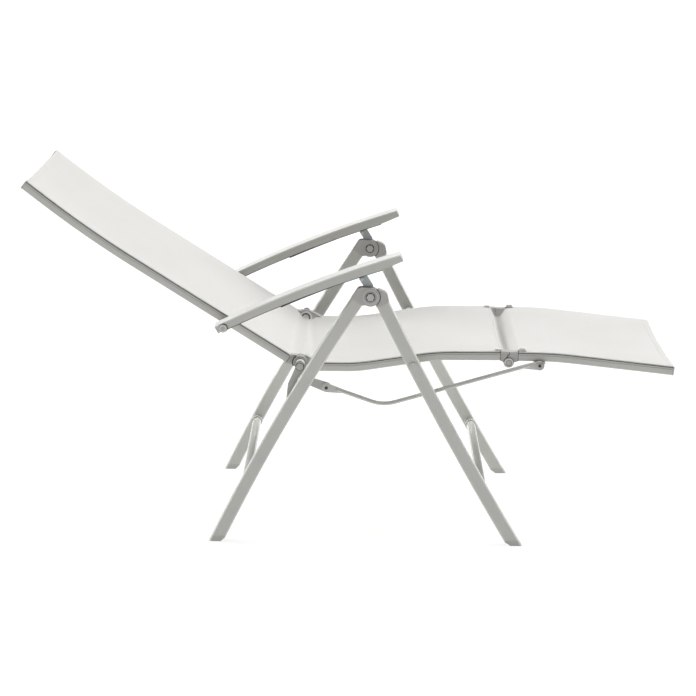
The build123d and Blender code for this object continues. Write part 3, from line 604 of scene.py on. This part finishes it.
def prisms(name, layers, slot, body, edge=0.0, instead=()):
    """Outlines in the side view, each with its layer's two distances outward, on both sides."""
    points, faces, uvs = [], [], []
    for outline, low, high in layers:
        count = len(outline)
        for side in (1, -1):
            base = len(points)
            for y in (low, high):
                for x, z in outline:
                    points.append(Vector((x - MID, side * y, z)) * MM)
                    uvs.append((x * MM, z * MM))
            faces.append(tuple(range(base, base + count)))
            faces.append(tuple(range(base + count, base + 2 * count)))
            for k in range(count):
                after = (k + 1) % count
                faces.append((base + k, base + after, base + count + after, base + count + k))
    return closed_mesh(name, points, faces, uvs, slot, body, edge, instead)


def strips(name, bands, slot, body, edge=0.0):
    """Bands along a line: from one height to another above it, and from y to y."""
    points, faces, uvs = [], [], []
    for line, low, high, y_in, y_out in bands:
        path, _ = even(line, BAND_STEP)
        for side in (1, -1):
            base = len(points)
            for under, over in zip(lifted(path, low), lifted(path, high)):
                for (x, z), y in ((under, y_in), (under, y_out), (over, y_out), (over, y_in)):
                    points.append(Vector((x - MID, side * y, z)) * MM)
                    uvs.append((x * MM, y * MM))
            for i in range(len(path) - 1):
                for k in range(4):
                    a, b = base + 4 * i + k, base + 4 * i + (k + 1) % 4
                    faces.append((a, b, b + 4, a + 4))
            last = base + 4 * (len(path) - 1)
            faces += [tuple(range(base, base + 4)), tuple(range(last, last + 4))]
    return closed_mesh(name, points, faces, uvs, slot, body, edge)


def disc(x, z, radius):
    turns = np.radians(np.linspace(0.0, FULL_TURN, DISC_STEPS, endpoint=False))
    return [(x + radius * math.cos(a), z + radius * math.sin(a)) for a in turns]


def discs(pivot, *sizes):
    """Layers of round plates about a pivot: each one's radius and two distances outward."""
    return [(disc(*pivot, radius), low, high) for radius, low, high in sizes]


def arc(x, z, radius, first, last):
    """Part of a circle, from one angle in degrees to another."""
    turns = np.radians(np.linspace(first, last, PART_DISC_STEPS))
    return [(x + radius * math.cos(a), z + radius * math.sin(a)) for a in turns]


def corners(*points):
    """Outline whose points with a third number get that radius."""
    outline = []
    count = len(points)
    for k, (x, z, *radius) in enumerate(points):
        if not radius:
            outline.append((x, z))
            continue
        before, after = points[k - 1][:2], points[(k + 1) % count][:2]
        turn = rounded([before, (x, z), after], radius[0])[1:-1:CORNER_SKIP]
        outline += [tuple(place) for place in turn]
    return outline


def gap_shade_plate(x, z, dx, dz):
    """Thin plate across the direction (dx, dz), laid dark at a rail's end as painted shade in the
    gap there.
    """
    size = math.hypot(dx, dz)
    ux, uz = dx / size * GAP_SHADE_THICK / 2, dz / size * GAP_SHADE_THICK / 2
    nx, nz = -dz / size * GAP_SHADE_HALF, dx / size * GAP_SHADE_HALF
    return [(x - ux - nx, z - uz - nz), (x + ux - nx, z + uz - nz),
            (x + ux + nx, z + uz + nz), (x - ux + nx, z - uz + nz)]


def arc_line(a, b, c):
    """Arc from a through b to c."""
    (ax, az), (bx, bz), (cx, cz) = a, b, c
    scale = 2 * (ax * (bz - cz) + bx * (cz - az) + cx * (az - bz))
    squares = [x * x + z * z for x, z in (a, b, c)]
    mx = (squares[0] * (bz - cz) + squares[1] * (cz - az) + squares[2] * (az - bz)) / scale
    mz = (squares[0] * (cx - bx) + squares[1] * (ax - cx) + squares[2] * (bx - ax)) / scale
    turns = np.linspace(math.atan2(az - mz, ax - mx), math.atan2(cz - mz, cx - mx), ARC_STEPS)
    reach = math.hypot(ax - mx, az - mz)
    return np.stack((mx + reach * np.cos(turns), mz + reach * np.sin(turns)), 1)


# Rails: a dark band where the cloth goes in, painted shade in the slot's mouth, and two raised
# lines below it. Each band has two heights above the rail's middle line and two distances outward.
SKIN = RAIL_OUT - 0.1
SLOT_SHADE_BAND = (7.0, 9.2, SKIN, RAIL_OUT + 0.12)
UPPER_BEAD = (5.4, 6.8, SKIN, RAIL_OUT + 0.6)
LOWER_BEAD = (1.7, 2.6, SKIN, RAIL_OUT + 0.4)
for body, line in (("back", back_rail), ("seat", seat_rail), ("footrest", foot_rail)):
    strips(body + "_rail_slot", [(line, *SLOT_SHADE_BAND)], "dark_plastic", body)
    strips(body + "_rail_beads", [(line, *UPPER_BEAD), (line, *LOWER_BEAD)],
           "white_frame", body)

# Armrests: a lighter layer on the top face, a painted highlight where the light falls on it; dark
# strips underneath, painted shade where the armrest meets its rack; and the racks' lower edges,
# dark as painted shade, which start at RACK_FROM and get shallower toward the front.
OVER_ARM = arc_line((-1.5, 511.5), (212.0, 610.0), (411.6, 682.4))
UNDER_ARM = arc_line((7.2, 496.8), (212.0, 589.5), (373.0, 648.0))[2:]
ARM_LAYER = (248.0, 290.0)
UNDER_SHADE_HEIGHTS = (-1.6, 2.4)
UNDER_SHADE_OUTER, UNDER_SHADE_INNER = (283.6, 289.2), (248.8, 253.4)
RACK_FROM, RACK_TO, RACK_DROP, RACK_SLOPE = 141.0, 290.0, 4.8, 0.022
RACK_OUTER, RACK_INNER = (284.0, 288.8), (249.0, 253.0)
strips("armrest_caps", [(OVER_ARM, -2.9, 0.25, *ARM_LAYER)], "cap_face", "armrest_pair", 0.5)
strips("armrest_lips", [(UNDER_ARM, *UNDER_SHADE_HEIGHTS, *UNDER_SHADE_OUTER), (UNDER_ARM, *UNDER_SHADE_HEIGHTS, *UNDER_SHADE_INNER)],
       "dark_plastic", "armrest_pair")
rack_edge = [(x, z) for x, z in UNDER_ARM if RACK_FROM < x < RACK_TO]
rack_edge += [(x, z - RACK_DROP + (x - RACK_FROM) * RACK_SLOPE) for x, z in rack_edge[::-1]]
prisms("armrest_rack_edges", [(rack_edge, *RACK_OUTER), (rack_edge, *RACK_INNER)],
       "dark_plastic", "armrest_pair", 0.2)

# Top hinge: the rear leg's casting is a fork, two cheeks joined by a web. The front leg's is as
# wide and ends in a hollow round the fork's eye. The latch fin stands between the cheeks.
TOP = (347.0, 583.0)
INNER_CHEEK, OUTER_CHEEK, WEB_LAYER = (261.7, 267.6), (274.0, 280.3), (267.0, 275.0)
FIN_LAYER, INNER_GAP, OUTER_GAP = (269.0, 272.0), (267.9, 268.8), (272.2, 273.8)
ELBOW = corners((329.1, 563.4), (346.0, 566.0), (352.0, 583.0), (349.0, 604.4),
                (320.3, 605.2, 14.0), (303.9, 579.6))
ELBOW_WEB = corners((329.1, 563.4), (330.0, 583.0), (326.0, 605.1), (320.3, 605.2, 12.0),
                    (303.9, 579.6))
FORK = [(ELBOW, *INNER_CHEEK), (ELBOW, *OUTER_CHEEK), (ELBOW_WEB, *WEB_LAYER)]
prisms("rear_elbows", FORK + discs(TOP, (21.3, 261.4, 267.8), (21.3, 273.9, 281.2)),
       "cast_hinge", "rear_frame", 1.3, ("rear_top_knuckles",))
BROW = corners((362.4, 558.7), (389.2, 572.1), (385.0, 593.5, 15.0), (364.5, 601.5))
BROW += arc(*TOP, 22.9, 46.0, -57.6)
TOP_GAP_SHADE = arc(*TOP, 22.7, -75.0, 52.0) + [TOP]
prisms("front_brows", [(BROW, INNER_CHEEK[0], OUTER_CHEEK[1])], "cast_hinge", "front_frame", 1.1,
       ("front_top_knuckles",))
# Dark sectors in the gaps beside the fin, and dark discs at both ends of the pin: painted shade.
prisms("leg_hinge_washers", [(TOP_GAP_SHADE, *OUTER_GAP), (TOP_GAP_SHADE, *INNER_GAP)]
       + discs(TOP, (13.2, 282.1, 282.32), (10.9, 261.1, 261.5)), "dark_plastic", "front_frame")
prisms("leg_hinge_rings", discs(TOP, (12.5, 282.1, 282.6)), "cast_hinge", "front_frame", 0.1)
prisms("leg_hinge_hex_shadow", discs(TOP, (10.5, 282.3, 282.75)), "dark_plastic", "front_frame")
FIN = corners((329.0, 597.0), (354.0, 597.0), (352.5, 609.5), (337.0, 634.0, 5.0),
              (318.5, 626.0, 5.0), (331.0, 607.0, 9.0))
prisms("latch_fins", [(FIN, *FIN_LAYER)] + discs(TOP, (21.0, *FIN_LAYER)), "latch_plate",
       "front_frame", 0.6, ("latch_brackets",))

# Armrest pivot: a light ring round the bolt's face, over a painted shadow, a dark disc set a little
# off the pivot.
ARM_PIVOT, ARM_SHADOW = (18.0, 508.5), (19.0, 509.6)
prisms("armrest_bolt_shadows", discs(ARM_SHADOW, (9.9, 290.0, 290.28)), "dark_plastic", "back")
prisms("armrest_bolt_rings", discs(ARM_PIVOT, (9.0, 290.2, 293.35)), "cap_face", "back", 1.7)
prisms("armrest_bolt_faces", discs(ARM_PIVOT, (5.6, 293.3, 293.6)), "cast_hinge", "back", 0.1)

# Back hinge: dark discs, plates and a crescent, painted shade in the gaps between castings, lever,
# spacer and cap, with light washers between; a dark disc on the lever, painted shade for a rivet's
# bore.
BACK = (190.0, 417.0)
RAIL_END_LAYER, CRESCENT_SHADE_LAYER = (206.8, 225.3), (232.0, 232.7)
LEVER_RIVET = (250.0, 359.5)
CRESCENT_SHADE_TURN = (122.0, 208.0)
CRESCENT_SHADE = arc(*BACK, 18.8, *CRESCENT_SHADE_TURN) + arc(*BACK, 15.4, *CRESCENT_SHADE_TURN)[::-1]
BACK_GAP_SHADE = gap_shade_plate(163.0, 423.5, 452.0, -282.5)
prisms("back_hinge_gaps", discs(BACK, (15.9, 215.4, 216.6), (14.6, 225.2, 228.6),
                                (13.5, 231.9, 232.4), (11.6, 234.0, 234.8),
                                (9.9, 269.4, 270.4), (11.4, 204.3, 204.7))
       + [(BACK_GAP_SHADE, *RAIL_END_LAYER)], "dark_plastic", "back")
prisms("back_hinge_washers", discs(BACK, (15.4, 204.6, 207.2)), "cap_face", "seat", 1.6)
prisms("back_hinge_plates", discs(BACK, (15.8, 232.5, 234.2), (13.0, 235.0, 236.7)),
       "cap_face", "back", 1.3)
prisms("back_hinge_plate_gaps", discs(BACK, (14.2, 234.1, 235.1), (11.6, 236.6, 237.6))
       + [(CRESCENT_SHADE, *CRESCENT_SHADE_LAYER)], "dark_plastic", "back")
prisms("lever_rivet_bores", discs(LEVER_RIVET, (3.9, 237.9, 238.4)), "dark_plastic", "back")

# Footrest hinge: dark discs and plates, painted shade in the gaps round the pin's head and at
# the rails' ends, light rings on the head, and a dark line, painted shade in the seam between the
# castings.
KNEE = (665.0, 423.0)
SEAM_SHADE_LINE = [(666.2, 447.4), (667.7, 447.4), (666.5, 441.0), (661.2, 434.2),
              (656.6, 430.4), (655.8, 431.3), (659.8, 435.0), (665.0, 441.6)]
SEAM_SHADE_LAYER = (224.8, 225.35)
SEAT_GAP_SHADE = gap_shade_plate(646.0, 437.8, 1.0, 0.0)
FOOT_GAP_SHADE = gap_shade_plate(686.2, 437.0, 1.0, 0.0)
prisms("knee_gaps", discs(KNEE, (11.8, 224.9, 225.4), (8.7, 227.2, 227.5), (6.4, 228.9, 229.25))
       + [(SEAT_GAP_SHADE, *RAIL_END_LAYER)], "dark_plastic", "seat")
prisms("knee_rings", discs(KNEE, (10.2, 227.0, 229.3)), "cap_face", "seat", 1.5)
prisms("knee_ring_gaps", discs(KNEE, (6.8, 229.25, 229.4)), "dark_plastic", "seat")
prisms("knee_ring_faces", discs(KNEE, (6.0, 229.3, 229.8)), "zinc_steel", "seat", 0.3)
prisms("knee_gap_front", [(FOOT_GAP_SHADE, *RAIL_END_LAYER), (SEAM_SHADE_LINE, *SEAM_SHADE_LAYER)],
       "dark_plastic", "footrest")

# Clips that hold the cloth's corners at the footrest hinge.
SEAT_CLIP = corners((633.0, 448.6, 1.0), (648.0, 448.6, 1.0), (647.0, 453.2, 2.0),
                    (634.0, 453.2, 2.0))
FOOT_CLIP = corners((688.0, 449.0, 1.5), (703.5, 449.0, 1.5), (703.5, 455.8, 3.2),
                    (688.0, 455.8, 3.2))
CLIP_SHADOW = [(687.2, 448.0), (704.3, 448.0), (704.3, 449.4), (687.2, 449.4)]
SEAT_CLIP_LAYER, FOOT_CLIP_LAYER, CLIP_SHADOW_LAYER = (210.0, 221.5), (211.0, 221.0), (212.0, 221.2)
prisms("seat_clips", [(SEAT_CLIP, *SEAT_CLIP_LAYER)], "cap_face", "seat", 1.4,
       ("seat_fabric_clips",))
prisms("footrest_clips", [(FOOT_CLIP, *FOOT_CLIP_LAYER)], "cap_face", "footrest", 1.6,
       ("footrest_fabric_clips",))
# A dark strip along the lower edge of each footrest clip: a painted shadow where the clip meets the
# cloth.
prisms("footrest_clip_feet", [(CLIP_SHADOW, *CLIP_SHADOW_LAYER)], "dark_plastic", "footrest")

# Rod bracket: two lugs round the rod's eye, hung from a base under the rail.
EYE = (735.0, 419.5)
LOWER_HALF = (180.0, 360.0)
INNER_LUG = arc(*EYE, 11.0, *LOWER_HALF) + [(746.0, 426.3), (724.0, 426.3)]
OUTER_LUG = arc(*EYE, 10.6, *LOWER_HALF) + [(745.6, 426.3), (724.4, 426.3)]
LUG_BASE = [(722.0, 424.3), (748.0, 424.3), (748.0, 426.4), (722.0, 426.4)]
INNER_LUG_LAYER, OUTER_LUG_LAYER, LUG_BASE_LAYER = (229.0, 232.0), (236.9, 239.2), (209.0, 239.2)
prisms("rod_lugs", [(INNER_LUG, *INNER_LUG_LAYER), (OUTER_LUG, *OUTER_LUG_LAYER),
                    (LUG_BASE, *LUG_BASE_LAYER)],
       "cast_hinge", "footrest", 0.6, ("rod_brackets",))
# A dark disc on the outer lug: painted shade standing in for the bore round the rod's eye.
prisms("rod_lug_bores", discs(EYE, (3.8, 239.1, 239.45)), "dark_plastic", "footrest")

# Softened edges on the CAD's own pieces: the widths, in mm, of those that differ from the rest.
ROUND = {"armrests": 0.8, "front_legs": 1.0, "rear_legs": 1.0, "back_rails": 0.3,
         "seat_rails": 0.3, "footrest_rails": 0.3, "front_foot_caps": 0.9,
         "rear_foot_caps": 0.9}
PLAIN_ROUND, CAD_ANGLE = 0.4, 28
ROUND_SEGMENTS, PLAIN_SEGMENTS = 3, 2
for name, node in NODES.items():
    segments = ROUND_SEGMENTS if name in ROUND else PLAIN_SEGMENTS
    soften(node, ROUND.get(name, PLAIN_ROUND), segments, CAD_ANGLE)

# Floor and lights: a plain pale floor that glows softly, a dim world and three wide suns.
FLOOR_HALF = 60.0
FLOOR_GLOW, FLOOR_GLOW_COLOUR = 0.76, (1.0, 1.0, 0.995, 1)
WORLD_STRENGTH, WORLD_COLOUR = 0.12, (1.0, 0.995, 0.985, 1)

# Each sun: name, strength, width, and its turns about X (below 0 it comes from behind the chair)
# and Y (above 0 it comes from the right), in degrees.
SUNS = [("overhead", 0.9, 60, -14, 3), ("from_left", 3.4, 50, -14, -60),
        ("from_right", 3.4, 50, -14, 58)]

floor_mesh = bpy.data.meshes.new("floor")
floor_mesh.from_pydata([(-FLOOR_HALF, -FLOOR_HALF, 0), (FLOOR_HALF, -FLOOR_HALF, 0),
                        (FLOOR_HALF, FLOOR_HALF, 0), (-FLOOR_HALF, FLOOR_HALF, 0)],
                       [], [(0, 1, 2, 3)])
floor = bpy.data.objects.new("floor", floor_mesh)
floor_paint = coated("studio_floor", (0.34, 0.34, 0.34), (0.33, 0.33, 0.33), 0.8, 60, 0.0)
floor_shader = floor_paint.node_tree.nodes["Principled BSDF"]
floor_shader.inputs["Emission Color"].default_value = FLOOR_GLOW_COLOUR
floor_shader.inputs["Emission Strength"].default_value = FLOOR_GLOW
floor_shader.inputs["Specular IOR Level"].default_value = 0.0
floor.data.materials.append(floor_paint)
bpy.context.collection.objects.link(floor)

bpy.context.scene.view_settings.view_transform = "Standard"
world = bpy.data.worlds.new("studio")
world.use_nodes = True
background = world.node_tree.nodes["Background"]
background.inputs["Color"].default_value = WORLD_COLOUR
background.inputs["Strength"].default_value = WORLD_STRENGTH
bpy.context.scene.world = world
for name, strength, width, turn_x, turn_y in SUNS:
    light = bpy.data.lights.new(name, "SUN")
    light.energy = strength
    light.angle = math.radians(width)
    sun = bpy.data.objects.new(name, light)
    sun.rotation_euler = (math.radians(turn_x), math.radians(turn_y), 0)
    bpy.context.collection.objects.link(sun)
